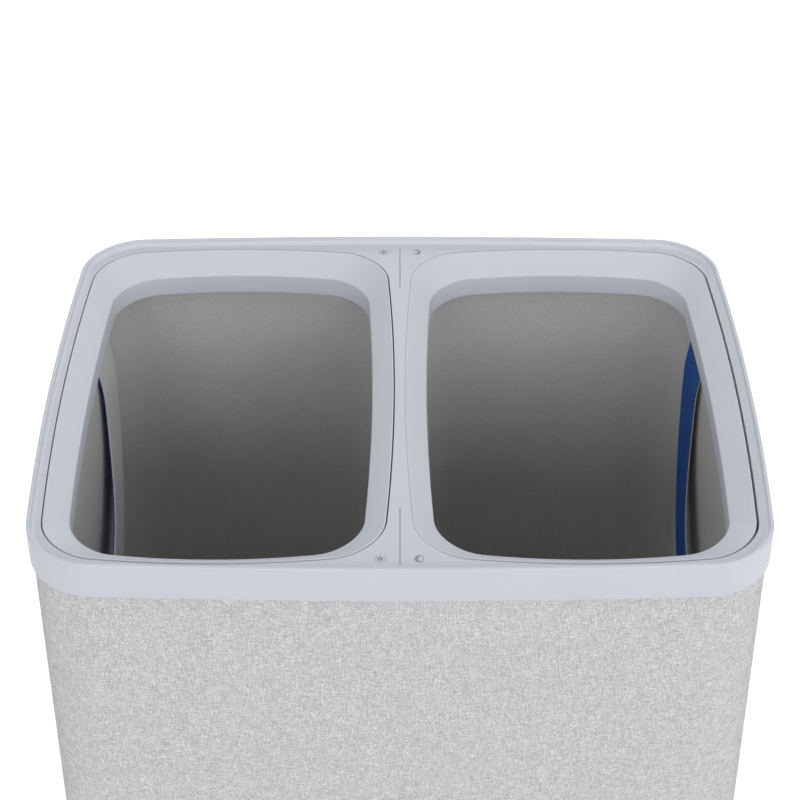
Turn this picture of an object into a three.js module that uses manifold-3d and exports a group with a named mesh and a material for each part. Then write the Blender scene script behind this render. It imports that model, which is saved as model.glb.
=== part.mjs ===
// Laundry hamper with two lift-out bags, in millimetres with +Z up.
// The origin is on the floor under the middle. The front looks along -Y, and left and right are as seen
// from the front.
import * as THREE from "three";
import { mergeVertices } from "three/addons/utils/BufferGeometryUtils.js";
import Module from "manifold-3d";

const wasm = await Module();
wasm.setup();

// Overall size
const width = 500;
const depth = 400;
const height = 700;
const clearance = 0.3; // between pieces that touch
const overrun = 1; // how far a cutting solid runs past what it cuts

// How finely the outlines are divided
const cornerSteps = 7;
const sideSteps = 6;
const roundSteps = 3;
const turnSteps = 20;

// Wall: a stiff shell with cloth stretched over it and turned in under its lower edge
const shellThickness = 2.4;
const coverThickness = 0.8;
const coverTurnIn = 12;
const coverReach = 18; // how far the cloth runs up behind the rim's band

// Rim: the band round the top edge, its lip, and the land sunk inside the lip
const rimCornerRadius = 42;
const rimSideBow = 8.2; // how far the left and right sides bow outwards
const rimEndBow = 6.5; // the same for the front and the back
const bandHeight = 27;
const bandWall = 2;
const lipWidth = 2.6;
const lipRound = 0.9;
const landDepth = 4.8;
const landFillet = 3;
const deckThickness = 2.4;
const deckOverlap = 2; // how far the band's own part of the land runs into the deck

// Apertures: two sleeves through the rim, each with a ledge that carries a bag
const dividerWidth = 7.3;
const sleeveWall = 1.6;
const sleeveSlack = 0.75; // between the shell and a sleeve, past the clearance
const apertureEndSetback = 2.5; // how much further the apertures stay from the ends than from the sides
const apertureEndBow = 11.3;
const ledgeWidth = 6;
const ledgeThickness = 2;
const sleeveSkirt = 5; // the part of a sleeve under its ledge
const dividerRibs = 5;
const dividerRibThickness = 1.6;

// The line engraved in the land at each end of the divider
const markWidth = 0.8;
const markDepth = 0.4;
const markLength = 57;
const markInset = 10.5;

// Bag frame: a loose ring with a sloped face and a skirt that goes down into the bag
const frameGap = 0.9;
const frameWall = 2;
const frameEdge = 0.5;
const slopeRunSide = 16.2;
const slopeRunDivider = 15.4; // the same beside the divider
const slopeRunEnd = 18.3;
const slopeDrop = 12.7;
const skirtHeight = 12.9;
const skirtDraft = 1.2;
const mouthCornerRadius = 30;
const mouthSideBow = 6.2;
const noseRound = 1.4;
const seatMargin = 0.5;
const rightFrameShift = -0.6; // the right-hand frame lies off centre in its aperture

// Bag: cloth folded outwards over a flat hoop, tapering to a bottom with a board in it
const bagThickness = 1.2;
const hemSlack = 0.5; // between the hem and the sleeve
const hoopThickness = 2.4;
const bagTaper = 6;
const bagFloorGap = 41.6; // from the base tray's plate to the bag's bottom
const boardThickness = 2.4;
const boardMargin = 1.5;

// Bag handle: a webbing loop that hangs inside the bag's side wall
const webbingWidth = 45;
const webbingThickness = 2;
const handleSetback = 54.5; // from the aperture's end to the outer edge of a leg
const handleLeg = 60;
const handleLean = 3; // how far a leg leans away from the wall by its lower end
const handleTopDrop = 4; // from the hoop's seat to the top of the legs
const handleBelly = 9; // how far the loop's bottom hangs away from the wall
const handleArcSteps = 14;

// Base tray, its feet and their screws
const trayWallHeight = 26;
const trayWall = 2.4;
const trayPlateThickness = 2.4;
const trayRibHeight = 8;
const trayRibThickness = 1.8;
const trayRibsAcross = 3;
const trayRibsAlong = 5;
const footHeight = 7.8;
const footRadius = 15;
const footWaist = 12.5;
const footInset = 46;
const footBossMargin = 3;
const screwHeadRadius = 4;
const screwHeadHeight = 2.6;
const screwShankRadius = 2;
const screwHeadDepth = 2.2; // from the floor to the screw's head
const screwLength = 12;

// Materials
const finish = (color, roughness, metalness = 0) =>
  new THREE.MeshStandardMaterial({ color, roughness, metalness });
const rimPlastic = finish(0xcdd2da, 0.45);
const coverCloth = finish(0xc6c6c4, 0.95);
const shellBoard = finish(0xd9d8d3, 0.7);
const bagCloth = finish(0xa9a8a5, 0.95);
const hoopPlastic = finish(0xe4e4e2, 0.5);
const boardPlastic = finish(0xbdbcb8, 0.8);
const blueWebbing = finish(0x2453a0, 0.85);
const trayPlastic = finish(0xa4a8ae, 0.55);
const footRubber = finish(0x55585c, 0.9);
const screwSteel = finish(0xb9bcc0, 0.35, 1);

// Heights that several pieces share
const lipTop = height;
const land = lipTop - landDepth;
const deckUnderside = land - deckThickness;
const shellBottom = footHeight + clearance;
const coverBottom = shellBottom - clearance - coverThickness;

// Insets from the rim's outer face, from the outside in
const coverInset = bandWall + clearance;
const shellInset = coverInset + coverThickness + clearance;
const trayInset = shellInset + shellThickness + clearance;
const apertureInset = trayInset + sleeveSlack + sleeveWall;

// Insets from an aperture's edge, from the outside in
const hoopInset = hemSlack + bagThickness + clearance;
const bagInset = ledgeWidth + clearance;
const hemReach = bagInset + bagThickness - frameGap - rightFrameShift; // under the shifted frame

// The stack on a ledge, from the land down: frame, hem, hoop, ledge
const frameSeat = land - frameWall - (slopeDrop * hemReach) / slopeRunDivider - seatMargin;
const hemTop = frameSeat - clearance;
const hoopTop = hemTop - bagThickness - clearance;
const hoopBottom = hoopTop - hoopThickness;
const ledgeTop = hoopBottom - clearance;
const ledgeBottom = ledgeTop - ledgeThickness;
const sleeveBottom = ledgeBottom - sleeveSkirt;

// A plan is a rounded rectangle, seen from above, whose four sides bow outwards.
const rimPlan = {
  x: 0,
  halfX: width / 2,
  halfY: depth / 2,
  radius: rimCornerRadius,
  bowX: rimSideBow,
  bowY: rimEndBow,
};

function inset(plan, sides, ends = sides) {
  return {
    ...plan,
    halfX: plan.halfX - sides,
    halfY: plan.halfY - ends,
    radius: plan.radius - (sides + ends) / 2,
  };
}

function aperturePlan(side) {
  const halfX = (width / 2 - apertureInset - dividerWidth / 2) / 2;
  return {
    x: side * (dividerWidth / 2 + halfX),
    halfX,
    halfY: depth / 2 - apertureInset - apertureEndSetback,
    radius: rimCornerRadius - apertureInset,
    bowX: rimSideBow,
    bowY: apertureEndBow,
  };
}

// The plan's outline, anticlockwise from its right-hand side.
function outline(plan) {
  const flatX = plan.halfX - plan.bowX;
  const flatY = plan.halfY - plan.bowY;
  const corners = [
    [1, 1],
    [-1, 1],
    [-1, -1],
    [1, -1],
  ];
  const arcs = corners.map(([signX, signY], corner) => {
    const centre = new THREE.Vector2(signX * (flatX - plan.radius), signY * (flatY - plan.radius));
    return Array.from({ length: cornerSteps + 1 }, (_, step) => {
      const angle = (Math.PI / 2) * (corner + step / cornerSteps);
      return new THREE.Vector2(Math.cos(angle), Math.sin(angle)).multiplyScalar(plan.radius).add(centre);
    });
  });
  const points = arcs.flatMap((arc, corner) => {
    const from = arc[cornerSteps];
    const to = arcs[(corner + 1) % arcs.length][0];
    const side = Array.from({ length: sideSteps - 1 }, (_, step) =>
      from.clone().lerp(to, (step + 1) / sideSteps),
    );
    return [...arc, ...side];
  });
  return points.map(({ x, y }) => [
    plan.x + x * (1 + (plan.bowX / flatX) * (1 - (y / plan.halfY) ** 2)),
    y * (1 + (plan.bowY / flatY) * (1 - (x / plan.halfX) ** 2)),
  ]);
}

// Joins the outlines of [plan, z] levels. A looped surface is a ring whose last level meets its first,
// and any other has a flat cap at each end. Outer walls go up and inner walls come down.
function loft(levels, looped = false) {
  const rings = levels.map(([plan, z]) => outline(plan).map(([x, y]) => [x, y, z]));
  const count = rings[0].length;
  const points = rings.flat();
  const triangles = [];
  rings.forEach((ring, level) => {
    if (level === rings.length - 1 && !looped) return;
    const here = level * count;
    const above = ((level + 1) % rings.length) * count;
    for (let i = 0; i < count; i++) {
      const next = (i + 1) % count;
      triangles.push(here + i, here + next, above + next, here + i, above + next, above + i);
    }
  });
  if (!looped) {
    const [firstPlan, firstZ] = levels[0];
    const [lastPlan, lastZ] = levels.at(-1);
    const top = (rings.length - 1) * count;
    points.push([firstPlan.x, 0, firstZ], [lastPlan.x, 0, lastZ]);
    for (let i = 0; i < count; i++) {
      const next = (i + 1) % count;
      triangles.push(points.length - 2, next, i, points.length - 1, top + i, top + next);
    }
  }
  return surface(points, triangles);
}

function surface(points, triangles) {
  const geometry = new THREE.BufferGeometry();
  geometry.setAttribute("position", new THREE.Float32BufferAttribute(points.flat(), 3));
  geometry.setIndex(triangles);
  return geometry;
}

function prism(plan, bottom, top) {
  return loft([
    [plan, bottom],
    [plan, top],
  ]);
}

// Points of a quarter round as [inset, z], turning from one direction to the other round its centre.
function quarterRound(centreInset, centreZ, radius, fromAngle, toAngle) {
  return Array.from({ length: roundSteps + 1 }, (_, step) => {
    const angle = THREE.MathUtils.degToRad(fromAngle + ((toAngle - fromAngle) * step) / roundSteps);
    return [centreInset + radius * Math.cos(angle), centreZ + radius * Math.sin(angle)];
  });
}

// Booleans
function toSolid(geometry) {
  const bare = geometry.clone();
  bare.deleteAttribute("normal");
  bare.deleteAttribute("uv");
  const merged = mergeVertices(bare);
  return new wasm.Manifold(
    new wasm.Mesh({
      numProp: 3,
      vertProperties: Float32Array.from(merged.attributes.position.array),
      triVerts: Uint32Array.from(merged.index.array),
    }),
  );
}

function toGeometry(solid) {
  const mesh = solid.getMesh();
  const geometry = new THREE.BufferGeometry();
  geometry.setAttribute("position", new THREE.BufferAttribute(mesh.vertProperties, 3));
  geometry.setIndex(new THREE.BufferAttribute(mesh.triVerts, 1));
  return geometry;
}

const joined = (geometries) => geometries.map(toSolid).reduce((all, one) => all.add(one));
const without = (solid, geometries) => geometries.map(toSolid).reduce((all, one) => all.subtract(one), solid);

function block(from, to) {
  const size = from.map((value, axis) => to[axis] - value);
  const middle = from.map((value, axis) => (value + to[axis]) / 2);
  return new THREE.BoxGeometry(...size).translate(...middle);
}

function turned(profile, x, y) {
  const points = profile.map(([radius, z]) => new THREE.Vector2(radius, z));
  return new THREE.LatheGeometry(points, turnSteps).rotateX(Math.PI / 2).translate(x, y, 0);
}

// Rim
function bandGeometry() {
  const bottom = lipTop - bandHeight;
  const profile = [
    [0, bottom],
    ...quarterRound(lipRound, lipTop - lipRound, lipRound, 180, 90),
    ...quarterRound(lipWidth - lipRound, lipTop - lipRound, lipRound, 90, 0),
    ...quarterRound(lipWidth + landFillet, land + landFillet, landFillet, 180, 270),
    [lipWidth + landFillet + deckOverlap, land],
    [lipWidth + landFillet + deckOverlap, deckUnderside],
    [bandWall, deckUnderside],
    [bandWall, bottom],
  ];
  return loft(
    profile.map(([distance, z]) => [inset(rimPlan, distance), z]),
    true,
  );
}

function dividerRibGeometries() {
  const halfX = dividerWidth / 2 - sleeveWall / 2;
  const spacing = depth / (dividerRibs + 1);
  return Array.from({ length: dividerRibs }, (_, rib) => {
    const y = (rib + 1) * spacing - depth / 2;
    const halfY = dividerRibThickness / 2;
    return block([-halfX, y - halfY, ledgeBottom], [halfX, y + halfY, deckUnderside + deckThickness / 2]);
  });
}

function markGeometry(end) {
  const outer = depth / 2 - markInset;
  const [low, high] = [end * outer, end * (outer - markLength)].sort((a, b) => a - b);
  return block([-markWidth / 2, low, land - markDepth], [markWidth / 2, high, land + overrun]);
}

function rimGeometry() {
  const plans = [-1, 1].map(aperturePlan);
  const body = joined([
    bandGeometry(),
    prism(inset(rimPlan, lipWidth + landFillet), deckUnderside, land),
    ...plans.map((plan) => prism(inset(plan, -sleeveWall), sleeveBottom, deckUnderside + deckThickness / 2)),
    ...dividerRibGeometries(),
  ]);
  const cuts = plans.flatMap((plan) => [
    prism(plan, ledgeTop, land + overrun),
    prism(inset(plan, ledgeWidth), sleeveBottom - overrun, ledgeTop + overrun),
    prism(plan, sleeveBottom - overrun, ledgeBottom),
  ]);
  return toGeometry(without(body, [...cuts, markGeometry(-1), markGeometry(1)]));
}

// Wall
function shellGeometry() {
  const outer = inset(rimPlan, shellInset);
  const inner = inset(outer, shellThickness);
  const top = deckUnderside - clearance;
  return loft(
    [
      [outer, shellBottom],
      [outer, top],
      [inner, top],
      [inner, shellBottom],
    ],
    true,
  );
}

function coverGeometry() {
  const outer = inset(rimPlan, coverInset);
  const inner = inset(outer, coverThickness);
  const hem = inset(outer, coverTurnIn);
  const top = lipTop - bandHeight + coverReach;
  return loft(
    [
      [hem, coverBottom],
      [outer, coverBottom],
      [outer, top],
      [inner, top],
      [inner, coverBottom + coverThickness],
      [hem, coverBottom + coverThickness],
    ],
    true,
  );
}

// Base tray, feet and screws
const trayPlan = inset(rimPlan, trayInset);
const trayPlateBottom = shellBottom + trayRibHeight;
const trayPlateTop = trayPlateBottom + trayPlateThickness;
const footPlaces = ["front", "back"].flatMap((end) =>
  ["left", "right"].map((side) => ({
    name: end + "_" + side,
    x: (side === "left" ? -1 : 1) * (width / 2 - footInset),
    y: (end === "front" ? -1 : 1) * (depth / 2 - footInset),
  })),
);

function trayGeometry() {
  const inner = inset(trayPlan, trayWall);
  const across = Array.from({ length: trayRibsAcross }, (_, rib) => {
    const y = ((rib + 1) * depth) / (trayRibsAcross + 1) - depth / 2;
    const half = trayRibThickness / 2;
    return block([-width / 2, y - half, shellBottom], [width / 2, y + half, trayPlateTop]);
  });
  const along = Array.from({ length: trayRibsAlong }, (_, rib) => {
    const x = ((rib + 1) * width) / (trayRibsAlong + 1) - width / 2;
    const half = trayRibThickness / 2;
    return block([x - half, -depth / 2, shellBottom], [x + half, depth / 2, trayPlateTop]);
  });
  const bossRadius = footRadius + footBossMargin;
  const bosses = footPlaces.map(({ x, y }) =>
    turned(
      [
        [0, shellBottom],
        [bossRadius, shellBottom],
        [bossRadius, trayPlateTop],
        [0, trayPlateTop],
      ],
      x,
      y,
    ),
  );
  const ribs = joined([...across, ...along, ...bosses]).intersect(
    toSolid(prism(inset(trayPlan, trayWall / 2), shellBottom, trayPlateTop)),
  );
  const dish = joined([
    loft([
      [trayPlan, trayPlateBottom],
      [trayPlan, shellBottom + trayWallHeight],
      [inner, shellBottom + trayWallHeight],
      [inner, trayPlateTop],
    ]),
    loft(
      [
        [trayPlan, shellBottom],
        [trayPlan, trayPlateTop],
        [inner, trayPlateTop],
        [inner, shellBottom],
      ],
      true,
    ),
  ]);
  const pilotRadius = screwShankRadius + clearance;
  const pilotTop = screwHeadDepth + screwLength + clearance;
  const pilots = footPlaces.map(({ x, y }) =>
    turned(
      [
        [0, shellBottom - overrun],
        [pilotRadius, shellBottom - overrun],
        [pilotRadius, pilotTop],
        [0, pilotTop],
      ],
      x,
      y,
    ),
  );
  return toGeometry(without(dish.add(ribs), pilots));
}

function footGeometry({ x, y }) {
  const holeRadius = screwShankRadius + clearance;
  const recessRadius = screwHeadRadius + clearance;
  const recessTop = screwHeadDepth + screwHeadHeight + clearance;
  return turned(
    [
      [recessRadius, 0],
      [footWaist, 0],
      [footRadius, footHeight / 2],
      [footRadius, footHeight],
      [holeRadius, footHeight],
      [holeRadius, recessTop],
      [recessRadius, recessTop],
      [recessRadius, 0],
    ],
    x,
    y,
  );
}

function footScrewGeometry({ x, y }) {
  const shankBottom = screwHeadDepth + screwHeadHeight;
  return turned(
    [
      [0, screwHeadDepth],
      [screwHeadRadius, screwHeadDepth],
      [screwHeadRadius, shankBottom],
      [screwShankRadius, shankBottom],
      [screwShankRadius, screwHeadDepth + screwLength],
      [0, screwHeadDepth + screwLength],
    ],
    x,
    y,
  );
}

// Bag frame
function framePlan(side) {
  const plan = inset(aperturePlan(side), frameGap);
  return side > 0 ? { ...plan, x: plan.x + rightFrameShift } : plan;
}

function frameGeometry(side) {
  const outer = framePlan(side);
  const mouth = {
    ...inset(outer, (slopeRunSide + slopeRunDivider) / 2, slopeRunEnd),
    x: outer.x - (side * (slopeRunSide - slopeRunDivider)) / 2,
    radius: mouthCornerRadius,
    bowX: mouthSideBow,
  };
  const noseZ = land - slopeDrop;
  const skirtBottom = noseZ - skirtHeight;
  const skirtTip = inset(mouth, skirtDraft);
  return loft(
    [
      [outer, frameSeat],
      [outer, land - frameEdge],
      [inset(outer, frameEdge), land],
      [inset(mouth, -noseRound), noseZ + (noseRound * slopeDrop) / slopeRunSide],
      [inset(mouth, -noseRound / 4), noseZ - noseRound / 4],
      [inset(mouth, (skirtDraft * noseRound) / skirtHeight), noseZ - noseRound],
      [skirtTip, skirtBottom + frameWall / 2],
      [inset(skirtTip, -frameWall / 4), skirtBottom],
      [inset(skirtTip, -frameWall), skirtBottom],
      [inset(mouth, -frameWall), noseZ - frameWall],
      [inset(outer, frameWall), land - frameWall - frameEdge],
      [inset(outer, frameWall), frameSeat],
    ],
    true,
  );
}

// Bag
const bagBottom = trayPlateTop + bagFloorGap;

function bagGeometry(side) {
  const aperture = aperturePlan(side);
  const at = (distance) => inset(aperture, distance);
  return loft([
    [at(bagInset + bagTaper), bagBottom],
    [at(bagInset), hoopTop + clearance],
    [at(hemSlack + bagThickness), hoopTop + clearance],
    [at(hemSlack + bagThickness), hoopBottom],
    [at(hemSlack), hoopBottom],
    [at(hemSlack), hemTop],
    [at(bagInset + bagThickness), hemTop],
    [at(bagInset + bagThickness + bagTaper), bagBottom + bagThickness],
  ]);
}

function hoopGeometry(side) {
  const aperture = aperturePlan(side);
  const outer = inset(aperture, hoopInset);
  const inner = inset(aperture, ledgeWidth);
  return loft(
    [
      [outer, hoopBottom],
      [outer, hoopTop],
      [inner, hoopTop],
      [inner, hoopBottom],
    ],
    true,
  );
}

function boardGeometry(side) {
  const bottom = bagBottom + bagThickness + clearance;
  const plan = inset(aperturePlan(side), bagInset + bagThickness + bagTaper + boardMargin);
  return prism(plan, bottom, bottom + boardThickness);
}

// How far the bag's inner face is from the bag's middle plane, at a place on its side wall.
function bagWallDistance(side, y, z) {
  const plan = inset(aperturePlan(side), bagInset + bagThickness);
  const share = (hemTop - z) / (hemTop - bagBottom - bagThickness);
  return plan.halfX - plan.bowX * (y / plan.halfY) ** 2 - bagTaper * share;
}

// The loop's middle line as { y, z, turn, stand }: down one leg, round the bottom and up the other leg.
// turn is the line's angle, 0 at the first leg and 180 degrees at the second, and stand is how far the
// webbing stands off the wall.
function handleLine(side) {
  const radius = aperturePlan(side).halfY - handleSetback - webbingWidth / 2;
  const top = ledgeTop - handleTopDrop;
  const arcCentre = top - handleLeg;
  const arc = Array.from({ length: handleArcSteps + 1 }, (_, step) => {
    const turn = (Math.PI * step) / handleArcSteps;
    const stand = handleLean + handleBelly * Math.sin(turn) ** 2;
    return { y: -radius * Math.cos(turn), z: arcCentre - radius * Math.sin(turn), turn, stand };
  });
  return [{ y: -radius, z: top, turn: 0, stand: 0 }, ...arc, { y: radius, z: top, turn: Math.PI, stand: 0 }];
}

function handleGeometry(side, wall) {
  const half = webbingWidth / 2;
  const middle = aperturePlan(side).x;
  const points = [];
  const line = handleLine(side);
  for (const { y, z, turn, stand } of line) {
    for (const [edge, lift] of [
      [-half, 0],
      [half, 0],
      [half, webbingThickness],
      [-half, webbingThickness],
    ]) {
      const edgeY = y + edge * Math.cos(turn);
      const edgeZ = z + edge * Math.sin(turn);
      const distance = bagWallDistance(side, edgeY, edgeZ) - clearance - stand - lift;
      points.push([middle + wall * distance, edgeY, edgeZ]);
    }
  }
  const triangles = [];
  const quad = (a, b, c, d) => triangles.push(a, b, c, a, c, d);
  for (let i = 0; i < line.length - 1; i++) {
    const here = 4 * i;
    for (let edge = 0; edge < 4; edge++) {
      const next = (edge + 1) % 4;
      quad(here + edge, here + 4 + edge, here + 4 + next, here + next);
    }
  }
  const last = 4 * (line.length - 1);
  quad(0, 1, 2, 3);
  quad(last, last + 3, last + 2, last + 1);
  if (wall < 0) triangles.reverse();
  return surface(points, triangles);
}

// Assembly
const hamper = new THREE.Group();

function addPiece(group, name, geometry, material) {
  const mesh = new THREE.Mesh(geometry, material);
  mesh.name = name;
  group.add(mesh);
}

addPiece(hamper, "rim_frame", rimGeometry(), rimPlastic);
addPiece(hamper, "wall_shell", shellGeometry(), shellBoard);
addPiece(hamper, "fabric_cover", coverGeometry(), coverCloth);
addPiece(hamper, "base_tray", trayGeometry(), trayPlastic);
for (const place of footPlaces) {
  addPiece(hamper, "foot_" + place.name, footGeometry(place), footRubber);
  addPiece(hamper, "foot_screw_" + place.name, footScrewGeometry(place), screwSteel);
}
for (const [side, sideName] of [
  [-1, "left"],
  [1, "right"],
]) {
  const bag = new THREE.Group();
  addPiece(bag, sideName + "_bag", bagGeometry(side), bagCloth);
  addPiece(bag, sideName + "_bag_hoop", hoopGeometry(side), hoopPlastic);
  addPiece(bag, sideName + "_bag_base_board", boardGeometry(side), boardPlastic);
  addPiece(bag, sideName + "_bag_left_handle", handleGeometry(side, -1), blueWebbing);
  addPiece(bag, sideName + "_bag_right_handle", handleGeometry(side, 1), blueWebbing);
  addPiece(bag, sideName + "_bag_frame", frameGeometry(side), rimPlastic);
  hamper.add(bag);
}

export default hamper;
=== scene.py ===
import math
from dataclasses import dataclass, replace
from functools import lru_cache

import bmesh
import bpy
import numpy as np
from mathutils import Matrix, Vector
from mathutils.geometry import tessellate_polygon


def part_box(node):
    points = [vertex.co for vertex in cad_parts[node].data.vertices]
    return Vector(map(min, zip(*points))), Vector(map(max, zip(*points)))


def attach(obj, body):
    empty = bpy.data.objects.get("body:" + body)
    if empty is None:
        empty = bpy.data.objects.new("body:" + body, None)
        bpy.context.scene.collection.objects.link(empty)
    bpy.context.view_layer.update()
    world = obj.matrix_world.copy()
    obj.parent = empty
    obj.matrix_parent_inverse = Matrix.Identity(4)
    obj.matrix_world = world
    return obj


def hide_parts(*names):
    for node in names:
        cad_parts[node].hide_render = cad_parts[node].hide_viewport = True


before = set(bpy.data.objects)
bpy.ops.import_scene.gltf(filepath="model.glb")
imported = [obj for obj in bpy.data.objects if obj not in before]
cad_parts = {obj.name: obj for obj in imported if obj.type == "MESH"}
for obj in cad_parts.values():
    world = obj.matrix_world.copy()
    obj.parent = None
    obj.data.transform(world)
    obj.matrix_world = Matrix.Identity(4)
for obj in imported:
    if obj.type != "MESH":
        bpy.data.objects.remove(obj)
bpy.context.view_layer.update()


@lru_cache(None)
def node_box(node):
    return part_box(node)


SIDES = ("left", "right")
ENDS = ("front", "back")
CLEARANCE = 0.0003  # between pieces that rest on each other

# Camera
CAMERA_PLACE = (0, -1.217, 1.585)
CAMERA_PITCH = math.radians(36.43)  # below the horizon
CAMERA_LENS = 94.95
SENSOR_WIDTH = 36

# Lamps: the place, size and power of each. They all point at the middle of the rim.
LAMPS = {
    "front": ((0, -2.6, 1.5), (2.6, 1.2), 31),
    "right": ((2.3, -0.4, 1.7), (1.4, 2.0), 17),
    "left": ((-2.3, -0.4, 1.7), (1.4, 2.0), 7),
    "top": ((0, 0, 2.7), (2.4, 2.4), 10.5),
    "back": ((0, 2.6, 1.3), (2.6, 1.2), 16),
}
WORLD_STRENGTH = 0.36
FLOOR_HALF = 12
FLOOR_COLOR = (0.86, 0.86, 0.86)
FLOOR_GLOW = 0.55

# How finely the outlines are divided
CORNER_STEPS = 18
SIDE_STEPS = 26
ROUND_STEPS = 5
TURN_STEPS = 48
SUPPORT = 0.0002  # a narrow flat strip beside each round, which keeps the flat face's shading flat

# Rim
LIP_TOP = node_box("rim_frame")[1].z
RIM_RADIUS = 0.042
RIM_BOWS = (0.0082, 0.0065)  # how far the sides and the ends bow outwards
BAND_HEIGHT = 0.027
BAND_WALL = 0.002
BAND_EDGE = 0.0006
LIP_WIDTH = 0.0026
LIP_ROUND = 0.0009
LIP_RISE = 0.0048
LAND = LIP_TOP - LIP_RISE
LAND_FILLET = 0.003
DECK_THICKNESS = 0.0024
DECK_UNDERSIDE = LAND - DECK_THICKNESS

# Apertures
APERTURE_INSET = 0.00845
APERTURE_BOWS = (0.0082, 0.0113)
APERTURE_EDGE = 0.0003
HEM_SLACK = 0.0005
SLEEVE_WALL = 0.0016
SLEEVE_SKIRT = 0.005  # the part of a sleeve under its ledge
LEDGE_WIDTH = 0.006
LEDGE_THICKNESS = 0.002
LEDGE_EDGE = 0.0004
LEDGE_TOP = node_box("left_bag_hoop")[0].z - CLEARANCE
LEDGE_UNDERSIDE = LEDGE_TOP - LEDGE_THICKNESS
SLEEVE_BOTTOM = LEDGE_UNDERSIDE - SLEEVE_SKIRT
DIVIDER_HALF = 0.00365
DIVIDER_RIBS = 5
DIVIDER_RIB = 0.0016

# Engraved lines and the pictures beside them
MARK_WIDTH = 0.0011
MARK_DEPTH = 0.0010
MARK_LENGTH = 0.057
MARK_INSET = 0.0105
PRINT_THICKNESS = 0.00006
PRINT_OFFSET = 0.0128  # from the middle of the divider
PRINT_INSET = 0.0163
PRINT_SIZE = 0.0043

# Bag frames
FRAME_GAP = 0.0009  # from the aperture's edge
FRAME_WALL = 0.002
FRAME_EDGE = 0.00025
FRAME_FLAT = 0.0009  # the narrow level edge outside the slope
FRAME_TIP_ROUND = FRAME_WALL * 0.45
FRAME_SETTLE = 0.0002  # the right-hand frame leans this much further on the divider
SLOPE_RUN_SIDE = 0.0162
SLOPE_RUN_DIVIDER = 0.0154
SLOPE_RUN_END = 0.0183
SLOPE_DROP = 0.0127
SLOPE_ANGLE = 0.65  # about that of the slope, in radians, for the strips beside its rounds
SKIRT_HEIGHT = 0.0157
SKIRT_DRAFT = 0.0002
MOUTH_RADIUS = 0.030
MOUTH_SIDE_BOW = 0.0062
NOSE_ROUND = 0.0016

# Shell and cover
SHELL_THICKNESS = 0.0024
SHELL_EDGE = 0.0005
COVER_THICKNESS = 0.0008
COVER_EDGE = 0.0014
COVER_TURN_IN = 0.012  # how far the cloth runs in under the shell
SEAM_WIDTH = 0.011
SEAM_THICKNESS = 0.0005
SEAM_EDGE = 0.0004

# Bags
BAG_THICKNESS = 0.0011
BAG_INSET = 0.0063  # from the aperture's edge to the bag's outer face
BAG_TAPER = 0.006
BAG_FOOT_ROUND = 0.010
HEM_FOLD = 0.0009
HEM_STITCHES = 0.008  # from the top of the hem down to the stitches that close it
WALL_ROWS = 60
BAG_STEPS = dict(corner_steps=9, side_steps=16)
TAPE_HALF = 0.005  # of the tape over the bag's seam
TAPE_EDGE = 0.0006
TAPE_RISE = 0.0008
TAPE_SINK = 0.0003
BINDING_HEIGHT = 0.007  # of the tape that binds the foot
BINDING_EDGE = 0.0004
BINDING_RISE = 0.0007
BOARD_RADIUS = 0.017
BOARD_EDGE = 0.0008

# How a bag's cloth hangs
CLOTH_CUT = (1.024, 1.024, 1.005)  # the cloth's size against the space that it hangs in
CLOTH_SETTINGS = dict(
    quality=5, mass=0.05, tension_stiffness=15, compression_stiffness=15, shear_stiffness=5,
    bending_stiffness=3,
)
CLOTH_FRAMES = 30
UNEVENNESS = 0.004  # of the cloth before it hangs
UNEVEN_PASSES = (100, 12)  # of smoothing, down the wall and round it
CALM_PASSES = 3
SAG_INWARD = 0.009  # the most that loose cloth may move
SAG_OUTWARD = 0.004
HANDLE_ZONE = (0.75, 0.9)  # of the bag's half width, where the walls with the handles begin
LOOSE_DEPTH = (0.025, 0.09)  # below the hem, where the cloth begins to be loose and is wholly so
LOOSE_DEPTH_HANDLE = (0.17, 0.26)  # the same where a handle holds the cloth
FOOT_HOLD = 0.06  # above the foot

# Stitches
STITCH_WIDTH = 0.0007
STITCH_HEIGHT = 0.0004
STITCH_LIFT_SHARE = 0.2  # of its height, from the cloth to a stitch's middle line
STITCH_SHARES = ((0, 0.45), (0.28, 1), (0.72, 1), (1, 0.45))  # of a stitch's length, and how full it is
STITCH_SPAN = (0.16, 0.84)  # the part of each pitch in which the thread shows
BAG_STITCH = 0.004  # the pitch
COVER_STITCH = 0.0035
HANDLE_STITCH = 0.003

# Webbing handles
WEBBING_WIDTH = 0.045
WEBBING_THICKNESS = 0.002
WEBBING_CROWN = 0.0002
WALL_GAP = 0.0004  # between the bag's wall and the webbing
HANDLE_BELLY = 0.009
HANDLE_LEG = 0.060
HANDLE_LEAN = 0.003
SEWN_PART = 0.4  # of a leg, which lies flat on the wall
SEWN_BOX_INSET = 0.004
SEWN_BOX_HEIGHT = 0.021


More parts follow.
